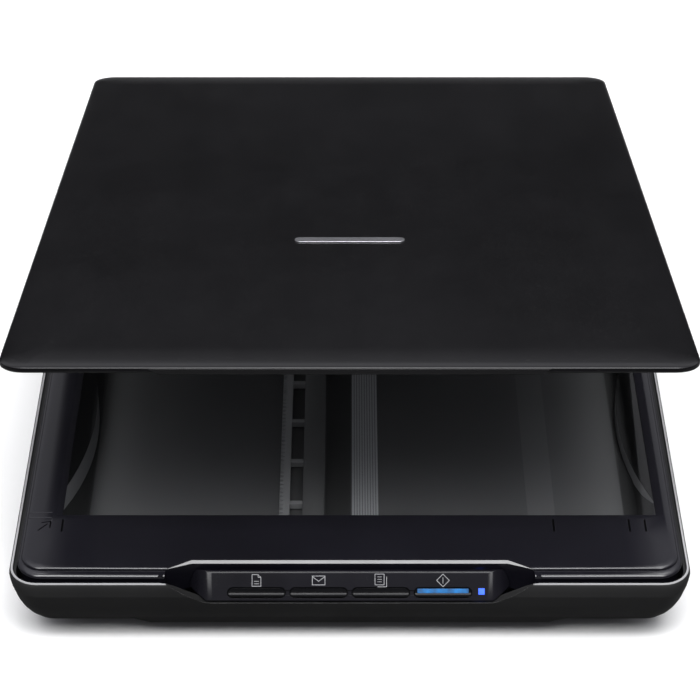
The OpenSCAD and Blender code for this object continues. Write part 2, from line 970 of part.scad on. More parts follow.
// Loop of flat cable that rides under the carriage.
module cable_tail() {
  mid_z = 9.6;
  loop_y = -155;
  outer_r = 3.1;
  inner_r = outer_r - cable_t;
  arc = [90:15:270];
  color("#8d8f94")
    along_x(concat(
      [[-142, mid_z + inner_r], [-142, mid_z + outer_r]],
      [for (a = arc) [loop_y + outer_r * cos(a), mid_z + outer_r * sin(a)]],
      [[-147, mid_z - outer_r], [-147, mid_z - inner_r]],
      [for (i = [0:12]) [loop_y + inner_r * cos(270 - 15 * i), mid_z + inner_r * sin(270 - 15 * i)]]
    ), cable_x - cable_w / 2, cable_x + cable_w / 2);
}

// Bowed leaf springs that press the sensor up to the glass.
module sensor_springs() {
  bottom = plate_z + plate_t;
  rise = sensor_bottom - bottom;
  half_l = 7;
  leaf_t = 0.25;
  steps = 12;
  bow = [for (i = [0:steps]) [half_l * (2 * i / steps - 1), (rise - leaf_t) * (1 - pow(2 * i / steps - 1, 2))]];
  color(steel)
    for (x = spring_x)
      translate([x, 0, bottom])
        along_y(concat(bow, [for (i = [steps:-1:0]) [bow[i][0], bow[i][1] + leaf_t]]), scan_y - 2.5, scan_y + 2.5);
}

// ---------- contact image sensor ----------

module sensor_housing() {
  color(black)
    difference() {
      box([sensor_left, scan_y - sensor_half_d, sensor_bottom], [sensor_right, scan_y + sensor_half_d, sensor_top]);
      box([-107.5, scan_y - 4.2, sensor_bottom + 1.6], [111, scan_y + 4.2, sensor_top + 1]);
    }
}

module sensor_window() {
  color("#9fb4b8", 0.4)
    box([-107.5, scan_y - 4.2, sensor_top - 1], [111, scan_y + 4.2, sensor_top]);
}

module sensor_board() {
  color(board_green) {
    box([-107.4, scan_y - 4.1, sensor_bottom + 1.6], [110.9, scan_y + 4.1, sensor_bottom + 2.4]);
    box([-106.6, scan_y - 0.6, sensor_bottom + 2.4], [109.4, scan_y + 0.6, sensor_bottom + 2.8]);
  }
}

module rod_lens_array() {
  color("#7d8790")
    box([-107, scan_y - 0.9, sensor_bottom + 3.2], [110.4, scan_y + 0.9, sensor_top - 1.4]);
}

module light_guide() {
  color("#dfe8ea")
    along_x([
      [scan_y + 1.6, sensor_top - 3.6], [scan_y + 3.9, sensor_top - 3.6], [scan_y + 3.9, sensor_top - 2],
      [scan_y + 2.8, sensor_top - 1.2], [scan_y + 1.6, sensor_top - 1.8]
    ], -107, 110.4);
}

module sensor_pads() {
  color(acetal_white)
    for (x = [[sensor_left + 0.2, -107.9], [111.4, sensor_right - 0.2]])
      box([x[0], scan_y - 4, sensor_top], [x[1], scan_y + 4, glass_bottom - 0.05]);
}

// ---------- hinge ----------

module hinge_posts() {
  color(black)
    difference() {
      union() {
        hinge_slot(0, 15.5, shoulder_z + 0.2);
        for (side = [-1, 1], ear = [-1, 1])
          translate([side * hinge_x + ear * 5.05, hinge_y, hinge_z])
            rotate([0, 90, 0]) {
              cylinder(r = post_d / 2, h = 2.1, center = true);
              translate([1.8, 0, 0])
                cube([3.6, post_d, 2.1], center = true);
            }
      }
      for (side = [-1, 1])
        translate([side * hinge_x, hinge_y, hinge_z])
          rotate([0, 90, 0])
            cylinder(r = hinge_pin_r, h = 20, center = true);
    }
}

module hinge_pins() {
  color(steel)
    for (side = [-1, 1])
      translate([side * hinge_x, hinge_y, hinge_z])
        rotate([0, 90, 0])
          cylinder(r = hinge_pin_r, h = 12.2, center = true);
}

// Swings what is drawn in the closed lid's place up to the rest pose.
module lid_pose() {
  translate([0, hinge_y, hinge_z])
    rotate([-lid_open, 0, 0])
      translate([0, -hinge_y, -hinge_z])
        children();
}

module hinge_leaves() {
  color(steel)
    lid_pose()
      for (side = [-1, 1])
        difference() {
          translate([side * hinge_x, 0, 0]) {
            translate([0, hinge_y, hinge_z])
              rotate([0, 90, 0])
                cylinder(r = 2.1, h = 7.6, center = true);
            box([-3.8, 166, leaf_z], [3.8, hinge_y, leaf_top]);
            box([-7, 150, leaf_z], [7, 168, leaf_top]);
          }
          translate([side * hinge_x, hinge_y, hinge_z])
            rotate([0, 90, 0])
              cylinder(r = hinge_pin_r + run_gap, h = 9, center = true);
          for (y = leaf_screw_y)
            rod(1.25, 30, 40, side * hinge_x, y);
        }
}

module hinge_leaf_screws() {
  color(steel)
    lid_pose()
      for (side = [-1, 1], y = leaf_screw_y)
        translate([side * hinge_x, y, panel_bottom - 0.55])
          screw(2.1, 0.55, 1.15, 3.2);
}

// ---------- lid ----------

// Height and inset of the lid's rounded edge.
lid_profile = [
  [cover_bottom + eps, 0.3], [cover_bottom + 0.4, 0], [37.8, 0], [38.15, 0.15],
  [38.4, 0.55], [38.6, 1.5], [38.8, 3.6], [38.95, 6.6], [39.08, 11], [lid_top, 17]
];

module lid_cover() {
  color(black)
    lid_pose()
      difference() {
        union() {
          hull()
            for (p = lid_profile)
              rounded_slab(lid_w - 2 * p[1], lid_d - 2 * p[1], 9 - p[1] / 4, p[0] - eps, p[0], lid_mid_y);
          along_y([[-66, cover_bottom - 0.2], [66, cover_bottom - 0.2], [69, 38], [-69, 38]],
            lid_front - 0.7, lid_front + 1.7);
        }
        rounded_slab(lid_w - 3.6, lid_d - 3.6, 7.4, 30, 37.35, lid_mid_y);
        for (side = [-1, 1])
          box([side * hinge_x - 7.4, 168.6, 30], [side * hinge_x + 7.4, 180, 37.4]);
      }
}

module lid_inner_panel() {
  color(inside_grey)
    lid_pose()
      difference() {
        union() {
          difference() {
            rounded_slab(lid_w - 9, 338.4, 6, panel_bottom, 36.9, -2.6);
            rounded_slab(lid_w - 11.6, 335.8, 4.7, panel_bottom + 1.2, 40, -2.6);
            for (side = [-1, 1])
              box([side * hinge_x - 7.3, 160, panel_bottom + 1.2], [side * hinge_x + 7.3, 175, 40]);
          }
          for (p = lid_screw_xy)
            rod(3, panel_bottom, 37.3, p[0], p[1]);
          for (x = [-100, -50, 50, 100])
            box([x - 0.6, -170, panel_bottom], [x + 0.6, 145, 37.3]);
        }
        for (p = lid_screw_xy)
          rod(1.2, 30, 36.8, p[0], p[1]);
        for (side = [-1, 1], y = leaf_screw_y)
          rod(1.25, 30, 40, side * hinge_x, y);
      }
}

module document_mat() {
  color("white")
    lid_pose()
      rounded_slab(218, 298, 3, panel_bottom - mat_t, panel_bottom, 5, 3.5);
}

module lid_badge() {
  color(steel)
    lid_pose()
      rounded_slab(43, 5, 2.4, lid_top, lid_top + 0.4, -56.3);
}

module lid_screws() {
  color(steel)
    lid_pose()
      for (p = lid_screw_xy)
        translate([p[0], p[1], panel_bottom - 0.6])
          screw(2.4, 0.6, 1.18, 2.6);
}

module lid_bumpers() {
  color(black)
    lid_pose()
      for (side = [-1, 1])
        rod(3.2, frame_z + 0.1, panel_bottom, side * 112, -168);
}

base_case();
top_frame();
platen_glass();
glass_tape();
calibration_strip();
control_panel();
status_light();
button_board();
tact_switches();
button_board_screws();
guide_rail();
gear_rack();
ribbon_cable();
ribbon_connector();
main_board();
board_chips();
usb_socket();
main_board_screws();
case_screws();
rubber_feet();
kickstand_pins();
kickstand();
button_document();
button_email();
button_copy();
button_start();
start_button_lens();
carriage_frame();
rail_slider();
drive_motor();
motor_screws();
gear_axles();
cable_tail();
sensor_springs();
sensor_housing();
sensor_window();
rod_lens_array();
light_guide();
sensor_board();
sensor_pads();
motor_shaft();
motor_pinion();
first_reduction_gear();
second_reduction_gear();
drive_gear();
hinge_posts();
hinge_pins();
hinge_leaves();
hinge_leaf_screws();
lid_cover();
lid_inner_panel();
document_mat();
lid_badge();
lid_screws();
lid_bumpers();
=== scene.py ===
"""Dresses the flatbed scanner: softened edges, procedural finishes, printed marks, camera and studio."""
import json
from math import cos, radians, sin

import bpy
from mathutils import Euler, Matrix, Vector

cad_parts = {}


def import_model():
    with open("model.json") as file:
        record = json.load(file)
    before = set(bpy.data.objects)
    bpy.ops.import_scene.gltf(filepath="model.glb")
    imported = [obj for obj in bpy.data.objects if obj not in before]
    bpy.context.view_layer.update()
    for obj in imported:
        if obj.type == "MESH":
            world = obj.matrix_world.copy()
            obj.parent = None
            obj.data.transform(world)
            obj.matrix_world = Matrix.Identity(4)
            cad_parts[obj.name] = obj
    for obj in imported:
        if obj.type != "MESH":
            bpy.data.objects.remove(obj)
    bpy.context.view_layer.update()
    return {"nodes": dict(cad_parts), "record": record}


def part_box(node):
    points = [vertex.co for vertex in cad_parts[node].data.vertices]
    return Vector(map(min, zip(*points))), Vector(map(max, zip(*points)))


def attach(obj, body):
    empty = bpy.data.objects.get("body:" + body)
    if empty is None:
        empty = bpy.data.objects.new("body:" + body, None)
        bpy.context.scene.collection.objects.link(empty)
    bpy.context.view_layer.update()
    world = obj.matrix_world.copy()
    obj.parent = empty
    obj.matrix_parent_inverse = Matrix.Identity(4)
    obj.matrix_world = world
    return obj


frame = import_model()
NODES = frame["nodes"]
RECORD = frame["record"]

# ---------- places taken from the CAD model, in metres ----------

BUTTONS = ["button_document", "button_email", "button_copy", "button_start"]


def middle_x(node):
    low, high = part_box(node)
    return (low[0] + high[0]) / 2


BUTTON_X = [middle_x(name) for name in BUTTONS]
FRAME_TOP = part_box("top_frame")[1][2]
RIM_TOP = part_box("base_case")[1][2]
RAIL_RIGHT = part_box("guide_rail")[1][0]
CABLE_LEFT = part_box("ribbon_cable")[0][0]

# The control panel's face: its middle, and its lean away from upright.
PANEL = Matrix.Translation((0, -0.178, 0.027)) @ Euler((radians(-40), 0, 0)).to_matrix().to_4x4()

# Places inside the case: where the painted shadows along the floor's sides begin, where the inside colour
# stops, and the top of the painted highlight on the grip hollows' walls.
LEFT_SHADOW_EDGE = -0.1015
RIGHT_SHADOW_EDGE = 0.1065
INSIDE_TOP = 0.021
GRIP_TOP = 0.0168


# ---------- node helpers ----------

class Nodes:
    """Builds one material's node tree."""

    def __init__(self, name):
        self.material = bpy.data.materials.new(name)
        self.material.use_nodes = True
        self.tree = self.material.node_tree
        self.tree.nodes.clear()
        self.out = self.add("ShaderNodeOutputMaterial")
        self.shader = self.add("ShaderNodeBsdfPrincipled")
        self.link(self.shader.outputs["BSDF"], self.out.inputs["Surface"])
        self.place = self.add("ShaderNodeTexCoord").outputs["Object"]

    def add(self, kind, **values):
        node = self.tree.nodes.new(kind)
        for key, value in values.items():
            setattr(node, key, value)
        return node

    def link(self, a, b):
        self.tree.links.new(a, b)

    def set(self, **values):
        for key, value in values.items():
            self.shader.inputs[key.replace("_", " ")].default_value = value

    def noise(self, scale, detail=3.0, rough=0.5, stretch=(1, 1, 1), kind="ShaderNodeTexNoise"):
        mapping = self.add("ShaderNodeMapping")
        mapping.inputs["Scale"].default_value = stretch
        self.link(self.place, mapping.inputs["Vector"])
        tex = self.add(kind)
        tex.inputs["Scale"].default_value = scale
        if kind == "ShaderNodeTexNoise":
            tex.inputs["Detail"].default_value = detail
            tex.inputs["Roughness"].default_value = rough
        self.link(mapping.outputs["Vector"], tex.inputs["Vector"])
        return tex.outputs["Fac"] if "Fac" in tex.outputs else tex.outputs["Distance"]

    def spread(self, value, low, high, start=0.3, end=0.7):
        node = self.add("ShaderNodeMapRange")
        node.inputs["From Min"].default_value = start
        node.inputs["From Max"].default_value = end
        node.inputs["To Min"].default_value = low
        node.inputs["To Max"].default_value = high
        self.link(value, node.inputs["Value"])
        return node.outputs["Result"]

    def above(self, value, place, soft):
        """1 where value is over place, 0 where it is under."""
        return self.spread(value, 0, 1, place - soft, place + soft)

    def below(self, value, place, soft):
        """1 where value is under place, 0 where it is over."""
        return self.spread(value, 1, 0, place - soft, place + soft)

    def mix(self, factor, a, b):
        """Colour a where factor is 0, colour b where it is 1."""
        node = self.add("ShaderNodeMix", data_type="RGBA")
        self.link(factor, node.inputs["Factor"])
        for value, socket in ((a, node.inputs[6]), (b, node.inputs[7])):
            if isinstance(value, tuple):
                socket.default_value = (*value[:3], 1.0)
            else:
                self.link(value, socket)
        return node.outputs[2]

    def times(self, first, *others):
        for other in others:
            node = self.add("ShaderNodeMath", operation="MULTIPLY")
            self.link(first, node.inputs[0])
            self.link(other, node.inputs[1])
            first = node.outputs["Value"]
        return first

    def split(self, vector):
        node = self.add("ShaderNodeSeparateXYZ")
        self.link(vector, node.inputs["Vector"])
        return node.outputs["X"], node.outputs["Y"], node.outputs["Z"]

    def bump(self, height, distance, strength):
        node = self.add("ShaderNodeBump")
        node.inputs["Strength"].default_value = strength
        node.inputs["Distance"].default_value = distance
        self.link(height, node.inputs["Height"])
        self.link(node.outputs["Normal"], self.shader.inputs["Normal"])

    def colour(self, socket):
        self.link(socket, self.shader.inputs["Base Color"])

    def roughness(self, socket):
        self.link(socket, self.shader.inputs["Roughness"])


def scaled(colour, factor):
    """A colour made brighter or darker, at most white."""
    return tuple(min(1.0, c * factor) for c in colour)


def plastic(name, base, rough, grain=0.00001, grain_scale=2200, spec=0.5, smudge=0.06, tint=0.25, dust=0.0):
    """Moulded plastic: a fine sparked grain, uneven sheen and slightly uneven colour."""
    n = Nodes(name)
    wide = n.noise(14, 4, 0.6)
    fine = n.noise(grain_scale, 2, 0.5)
    body = n.mix(n.spread(wide, 0, 1), scaled(base, 1 - tint), scaled(base, 1 + tint))
    if dust:
        specks = n.noise(900, 1, 0.4)
        body = n.mix(n.spread(specks, 0, dust, 0.66, 0.76), body, (0.30, 0.29, 0.28))
    n.colour(body)
    streaks = n.noise(55, 5, 0.65, (1, 0.35, 1))
    n.roughness(n.spread(streaks, rough - smudge, rough + smudge))
    n.set(Specular_IOR_Level=spec)
    n.bump(fine, grain, 0.6)
    return n.material


def case_lining(n, wide, inner, point):
    """Colour of the case's inside, with painted light and shade on it: painted shadows along both sides of
    the floor and between the rail and the cable, painted light on the slope and on the upright walls round
    the grip hollows, and painted shade growing towards the rear."""
    x, y, z = n.split(point.outputs["Position"])
    tilt_x, _, tilt_z = n.split(point.outputs["True Normal"])
    lining = n.mix(wide, scaled(inner, 0.92), scaled(inner, 1.08))
    edge = 0.0003
    # Painted shadow of the rail, on the floor between the rail and the cable.
    rail_shadow = n.times(n.above(x, RAIL_RIGHT + 0.0005, edge), n.below(x, CABLE_LEFT - 0.0005, edge))
    # Painted shadows along both sides of the floor, where the frame's side walls shade it.
    for painted_shadow in (n.below(x, LEFT_SHADOW_EDGE, edge), n.above(x, RIGHT_SHADOW_EDGE, edge), rail_shadow):
        lining = n.mix(painted_shadow, lining, scaled(inner, 0.38))
    # Painted light on the slope, which faces the lamps.
    slope = n.times(n.below(tilt_x, -0.2, 0.1), n.below(x, 0.1005, 0.0005))
    lining = n.mix(slope, lining, scaled(inner, 1.5))
    # Painted highlight on the upright walls round the grip hollows.
    upright = n.times(n.below(tilt_z, 0.3, 0.1), n.below(z, GRIP_TOP, 0.0002))
    lining = n.mix(upright, lining, scaled(inner, 3.4))
    # Painted shade, growing towards the rear, where the lid keeps the light out.
    near = n.spread(y, 1, 0.55, -0.11, -0.04)
    return n.mix(near, scaled(inner, 0.2), lining)


def case_outside(n, wide, outer, point):
    """Colour of the case's outside, with a painted highlight along the top edge of the rim and along the
    rounded edge of the dip at the front.
    """
    x, _, z = n.split(point.outputs["Position"])
    _, tilt_y, tilt_z = n.split(point.outputs["True Normal"])
    shell = n.mix(wide, scaled(outer, 0.8), scaled(outer, 1.2))
    # Painted highlight along the top edge of the rim.
    lip_highlight = n.above(z, RIM_TOP - 0.0003, 0.00005)
    # Painted highlight on the rounded edge along the dip at the front.
    rounded = n.times(n.above(tilt_z, 0.55, 0.05), n.below(tilt_y, -0.15, 0.05))
    dip_height = n.times(n.above(z, 0.0205, 0.0002), n.below(z, RIM_TOP - 0.0011, 0.0001))
    dip_width = n.times(n.above(x, -0.0695, 0.0005), n.below(x, 0.0695, 0.0005))
    for edge in (lip_highlight, n.times(rounded, dip_height, dip_width)):
        shell = n.mix(edge, shell, (0.36, 0.36, 0.37))
    return shell


def case_shell(name, outer, inner, rough, inner_rough):
    """Grained case plastic with one colour outside and another inside, told apart by which way a face
    looks from the middle of the case; painted highlights on the outside and painted light and shade on the
    inside are added."""
    n = Nodes(name)
    point = n.add("ShaderNodeNewGeometry")
    inward = n.add("ShaderNodeVectorMath", operation="SUBTRACT")
    inward.inputs[0].default_value = (0, 0, 0.06)
    n.link(point.outputs["Position"], inward.inputs[1])
    facing = n.add("ShaderNodeVectorMath", operation="DOT_PRODUCT")
    n.link(point.outputs["True Normal"], facing.inputs[0])
    n.link(inward.outputs["Vector"], facing.inputs[1])
    height = n.split(point.outputs["Position"])[2]
    inside = n.times(n.above(facing.outputs["Value"], 0, 0.002), n.below(height, INSIDE_TOP, 0.0005))
    wide = n.spread(n.noise(14, 4, 0.6), 0, 1)
    n.colour(n.mix(inside, case_outside(n, wide, outer, point), case_lining(n, wide, inner, point)))
    streaks = n.noise(55, 5, 0.65, (1, 0.35, 1))
    n.roughness(n.spread(streaks, rough - 0.05, inner_rough))
    n.set(Specular_IOR_Level=0.14)
    n.bump(n.noise(2200, 2, 0.5), 0.000004, 0.6)
    return n.material


def metal(name, base, rough, stretch=(1, 1, 1), scale=900, wear=0.2):
    """Plated or brushed metal with fine drawn lines and handling marks."""
    n = Nodes(name)
    lines = n.noise(scale, 3, 0.6, stretch)
    marks = n.noise(60, 4, 0.6)
    n.colour(n.mix(n.spread(marks, 0, 1), scaled(base, 1 - wear), base))
    n.roughness(n.spread(lines, rough - 0.08, rough + 0.1))
    n.set(Metallic=1.0)
    n.bump(lines, 0.00001, 0.5)
    return n.material


def glass(name, tint, rough=0.02, smears=0.05):
    """Clear plate: light passes straight through it, with a thin reflection on the side it enters and
    faint wiping marks."""
    n = Nodes(name)
    n.tree.nodes.remove(n.shader)
    clear = n.add("ShaderNodeBsdfTransparent")
    clear.inputs["Color"].default_value = (*tint, 1)
    shine = n.add("ShaderNodeBsdfGlossy")
    wipes = n.noise(30, 5, 0.6, (1, 0.3, 1))
    n.link(n.spread(wipes, rough, rough + smears), shine.inputs["Roughness"])
    fresnel = n.add("ShaderNodeFresnel")
    fresnel.inputs["IOR"].default_value = 1.45
    entering = n.add("ShaderNodeMath", operation="SUBTRACT")
    entering.inputs[0].default_value = 1.0
    n.link(n.add("ShaderNodeNewGeometry").outputs["Backfacing"], entering.inputs[1])
    mixer = n.add("ShaderNodeMixShader")
    n.link(n.times(fresnel.outputs["Fac"], entering.outputs["Value"]), mixer.inputs["Fac"])
    n.link(clear.outputs["BSDF"], mixer.inputs[1])
    n.link(shine.outputs["BSDF"], mixer.inputs[2])
    n.link(mixer.outputs["Shader"], n.out.inputs["Surface"])
    return n.material


def lit(name, colour, strength, dark=(0.02, 0.05, 0.12)):
    """Translucent coloured plastic with a lamp behind it, slightly uneven."""
    n = Nodes(name)
    cells = n.noise(400, 2, 0.5)
    n.colour(n.mix(n.spread(cells, 0, 1), dark, colour))
    n.link(n.mix(n.spread(cells, 0, 1), scaled(colour, 0.85), colour), n.shader.inputs["Emission Color"])
    n.set(Emission_Strength=strength, Specular_IOR_Level=0.5)
    n.roughness(n.spread(n.noise(120), 0.22, 0.4))
    return n.material


def board(name):
    """Green solder mask with faint copper tracks under it."""
    n = Nodes(name)
    tracks = n.noise(420, 1, 0.2, (1, 0.2, 1), "ShaderNodeTexVoronoi")
    n.colour(n.mix(n.spread(tracks, 0, 1, 0.1, 0.5), (0.012, 0.09, 0.035), (0.03, 0.17, 0.07)))
    n.roughness(n.spread(n.noise(200), 0.28, 0.42))
    n.bump(tracks, 0.00002, 0.4)
    return n.material


def ink(name, colour, rough=0.6, spec=0.4):
    """Pad-printed ink with slightly uneven cover."""
    n = Nodes(name)
    cover = n.noise(1500, 3, 0.6)
    n.colour(n.mix(n.spread(cover, 0, 1), scaled(colour, 0.86), colour))
    n.roughness(n.spread(cover, rough - 0.08, rough + 0.08))
    n.set(Specular_IOR_Level=spec)
    return n.material


PLASTICS = {
    "frame_plastic": dict(base=(0.0062, 0.0059, 0.0092), rough=0.21, grain=0.0000012, smudge=0.03),
    "panel_plastic": dict(base=(0.0065, 0.0062, 0.009), rough=0.25, grain=0.0000012, smudge=0.03, spec=0.22),
    "lid_plastic": dict(base=(0.004, 0.0039, 0.0045), rough=0.17, grain=0.0000015, smudge=0.02, dust=0.02,
                        spec=0.4),
    "inside_plastic": dict(base=(0.17, 0.17, 0.175), rough=0.5),
    "carriage_plastic": dict(base=(0.012, 0.012, 0.012), rough=0.5, grain=0.00002, grain_scale=900),
    "button_plastic": dict(base=(0.006, 0.006, 0.0072), rough=0.3, grain=0.000002, spec=0.15),
    "switch_plastic": dict(base=(0.02, 0.02, 0.02), rough=0.4),
    "chip_plastic": dict(base=(0.012, 0.012, 0.013), rough=0.45, grain_scale=3000),
    "acetal": dict(base=(0.62, 0.60, 0.55), rough=0.35, tint=0.06),
    "white_film": dict(base=(0.75, 0.75, 0.74), rough=0.45, tint=0.04),
    "mat_foam": dict(base=(0.70, 0.70, 0.69), rough=0.6, grain=0.00006, grain_scale=700, tint=0.05,
                     dust=0.08),
    "flat_cable": dict(base=(0.55, 0.555, 0.58), rough=0.32, tint=0.12),
    "black_tape": dict(base=(0.006, 0.006, 0.006), rough=0.6, tint=0.3),
    "foot_rubber": dict(base=(0.012, 0.012, 0.012), rough=0.8, grain=0.00004, grain_scale=1500, dust=0.15),
}
METALS = {
    "screw_steel": dict(base=(0.52, 0.53, 0.55), rough=0.32),
    "motor_steel": dict(base=(0.46, 0.46, 0.47), rough=0.3, stretch=(1, 1, 12)),
    "pinion_brass": dict(base=(0.72, 0.52, 0.2), rough=0.25),
    "badge_metal": dict(base=(0.66, 0.66, 0.68), rough=0.3, stretch=(20, 1, 1)),
}
MATERIALS = {
    "case_plastic": case_shell("case_plastic", (0.018, 0.018, 0.0184), (0.15, 0.15, 0.155), 0.45, 0.5),
    "circuit_board": board("circuit_board"),
    "blue_lens": lit("blue_lens", (0.012, 0.15, 0.42), 0.42),
    "blue_light": lit("blue_light", (0.045, 0.13, 1.0), 1.3),
    "bed_glass": glass("bed_glass", (0.955, 0.96, 0.96)),
    "lens_glass": glass("lens_glass", (0.75, 0.8, 0.82), 0.1, 0.1),
}
for name, look in PLASTICS.items():
    MATERIALS[name] = plastic(name, **look)
for name, look in METALS.items():
    MATERIALS[name] = metal(name, **look)

PRINT_WHITE = ink("print_white", (0.42, 0.42, 0.44))
PRINT_BLACK = ink("print_black", (0.0006, 0.0006, 0.0008), 0.8, 0.05)
PRINT_GREY = ink("print_grey", (0.035, 0.035, 0.04))
CONDUCTOR = ink("conductor_dark", (0.2, 0.202, 0.215), 0.4)
RACK = plastic("rack_plastic", (0.4, 0.4, 0.41), 0.45, tint=0.08)


# ---------- CAD pieces: finish and softened edges ----------

# Width of the rounding on each node's hard edges; the rest get FINE_BEVEL.
FINE_BEVEL = 0.00008
BEVEL = {
    "base_case": 0.00035, "top_frame": 0.00025, "control_panel": 0.0004, "lid_cover": 0.0002,
    "kickstand": 0.0003, "hinge_posts": 0.0003, "guide_rail": 0.0002, "gear_rack": 0.0001,
    "button_document": 0.0003, "button_email": 0.0003, "button_copy": 0.0003, "button_start": 0.00025,
    "carriage_frame": 0.0003, "rail_slider": 0.0003, "drive_motor": 0.0003, "rubber_feet": 0.0004,
    "document_mat": 0.0004, "lid_inner_panel": 0.0002, "lid_badge": 0.00012, "usb_socket": 0.00015,
    "board_chips": 0.00012, "main_board": 0.0001, "hinge_leaves": 0.0002, "sensor_housing": 0.0003,
}

# The frame's plane has the bed and the grooves cut through it, which one merged face can't carry.
KEEPS_TRIANGLES = ["top_frame"]


def modifier(o, kind, name, **values):
    m = o.modifiers.new(name, kind)
    for key, value in values.items():
        setattr(m, key, value)
    return m


def soften(o, width):
    """Joins the imported faces, rounds the hard edges a little and smooths the shading."""
    stored_normals = o.data.attributes.get("custom_normal")
    if stored_normals:
        o.data.attributes.remove(stored_normals)
    o.data.shade_smooth()
    modifier(o, "WELD", "join", merge_threshold=2e-6)
    if o.name not in KEEPS_TRIANGLES:
        modifier(o, "DECIMATE", "flatten", decimate_type="DISSOLVE", angle_limit=radians(0.4))
    modifier(o, "BEVEL", "round", width=width, segments=3, limit_method="ANGLE",
             angle_limit=radians(32), use_clamp_overlap=True, miter_outer="MITER_ARC")
    modifier(o, "EDGE_SPLIT", "creases", split_angle=radians(38))
    modifier(o, "WEIGHTED_NORMAL", "even", keep_sharp=True, weight=80)


slots = {p["node"]: p["material_slot"] for p in RECORD["subparts"]}
for name, o in NODES.items():
    o.data.materials.clear()
    o.data.materials.append(RACK if name == "gear_rack" else MATERIALS[slots[name]])
    if name not in ("glass_tape", "platen_glass"):
        soften(o, BEVEL.get(name, FINE_BEVEL))


# ---------- drawn pieces ----------

class Shapes:
    """Collects thin bars and outlines lying in a plane, to make one printed piece of the case."""

    def __init__(self, thick):
        self.verts, self.faces, self.thick = [], [], thick

    def piece(self, name, material, matrix):
        data = bpy.data.meshes.new(name)
        data.from_pydata([tuple(matrix @ Vector(v)) for v in self.verts], [], self.faces)
        data.update()
        o = bpy.data.objects.new(name, data)
        bpy.context.scene.collection.objects.link(o)
        data.materials.append(material)
        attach(o, "case")

    def prism(self, points):
        """A closed outline of (u, v) points, standing from -thick/2 to +thick/2."""
        start, count = len(self.verts), len(points)
        for w in (-self.thick / 2, self.thick / 2):
            self.verts += [(u, v, w) for u, v in points]
        self.faces.append(tuple(start + i for i in reversed(range(count))))
        self.faces.append(tuple(start + count + i for i in range(count)))
        for i in range(count):
            j = (i + 1) % count
            self.faces.append((start + i, start + j, start + count + j, start + count + i))

    def bar(self, a, b, width):
        """A straight stroke with square ends from a to b."""
        du, dv = b[0] - a[0], b[1] - a[1]
        length = (du * du + dv * dv) ** 0.5
        nu, nv = -dv / length * width / 2, du / length * width / 2
        self.prism([
            (a[0] - nu, a[1] - nv), (b[0] - nu, b[1] - nv), (b[0] + nu, b[1] + nv), (a[0] + nu, a[1] + nv)
        ])

    def ring(self, points, width, closed=True):
        """Strokes joined at mitred corners along an outline drawn anticlockwise."""
        count = len(points)
        sides = []
        for i, p in enumerate(points):
            before = points[i - 1] if (closed or i) else None
            after = points[(i + 1) % count] if (closed or i < count - 1) else None
            normals = []
            for a, b in ((before, p), (p, after)):
                if a is None or b is None:
                    continue
                length = ((b[0] - a[0]) ** 2 + (b[1] - a[1]) ** 2) ** 0.5
                normals.append(((b[1] - a[1]) / length, -(b[0] - a[0]) / length))
            nx, ny = sum(n[0] for n in normals), sum(n[1] for n in normals)
            size = (nx * nx + ny * ny) ** 0.5
            nx, ny = nx / size, ny / size
            reach = width / 2 / max(0.35, nx * normals[0][0] + ny * normals[0][1])
            sides.append(((p[0] + nx * reach, p[1] + ny * reach), (p[0] - nx * reach, p[1] - ny * reach)))
        for i in range(count if closed else count - 1):
            (a_out, a_in), (b_out, b_in) = sides[i], sides[(i + 1) % count]
            self.prism([a_out, b_out, b_in, a_in])


def on_panel(x, v):
    """From a drawing's plane (u right, v up) to the control panel's face at x, v."""
    flat = Matrix(((1, 0, 0, 0), (0, 0, -1, 0), (0, 1, 0, 0), (0, 0, 0, 1)))
    return PANEL @ Matrix.Translation((x, -0.00002, v)) @ flat


# An icon's height above the panel's middle, and the width of its lines.
ICON_V = 0.0017
LINE = 0.00021


def icon(name, x, draw):
    art = Shapes(0.00008)
    draw(art)
    art.piece(name, PRINT_WHITE, on_panel(x, ICON_V))


def draw_document(a):
    a.ring([
        (-0.0016, -0.0021), (0.0016, -0.0021), (0.0016, 0.0011), (0.0006, 0.0021), (-0.0016, 0.0021)
    ], LINE)
    a.ring([(0.0006, 0.0021), (0.0006, 0.0011), (0.0016, 0.0011)], LINE * 0.8, closed=False)
    for v in (-0.0012, -0.0003):
        a.bar((-0.0009, v), (0.0009, v), LINE * 0.8)


def draw_envelope(a):
    a.ring([(-0.0023, -0.0016), (0.0023, -0.0016), (0.0023, 0.0016), (-0.0023, 0.0016)], LINE)
    a.ring([(-0.0023, 0.0014), (0.0, -0.0003), (0.0023, 0.0014)], LINE, closed=False)


def draw_pages(a):
    a.ring([(-0.0021, -0.0016), (0.0012, -0.0016), (0.0012, 0.0023), (-0.0021, 0.0023)], LINE)
    a.ring([(-0.0012, -0.0023), (0.0021, -0.0023), (0.0021, 0.0014)], LINE, closed=False)
    for v in (-0.0005, 0.0004, 0.0013):
        a.bar((-0.0013, v), (0.0004, v), LINE * 0.7)


def draw_start(a):
    a.ring([(0.0, -0.0023), (0.0023, 0.0), (0.0, 0.0023), (-0.0023, 0.0)], LINE)
    a.bar((0.0, -0.0011), (0.0, 0.0011), LINE)


ICONS = {
    "icon_document": draw_document, "icon_envelope": draw_envelope,
    "icon_pages": draw_pages, "icon_start": draw_start
}
for x, (name, draw) in zip(BUTTON_X, ICONS.items()):
    icon(name, x, draw)

# Two fine lines on the frame where the bed's length starts.
origin_lines = Shapes(0.00006)
for y in (-0.1440, -0.1470):
    origin_lines.bar((-0.1195, y), (-0.1110, y), 0.0003)
origin_lines.piece("bed_origin_lines", PRINT_GREY,
                   Matrix.Translation((0, 0, FRAME_TOP + 0.00001)))

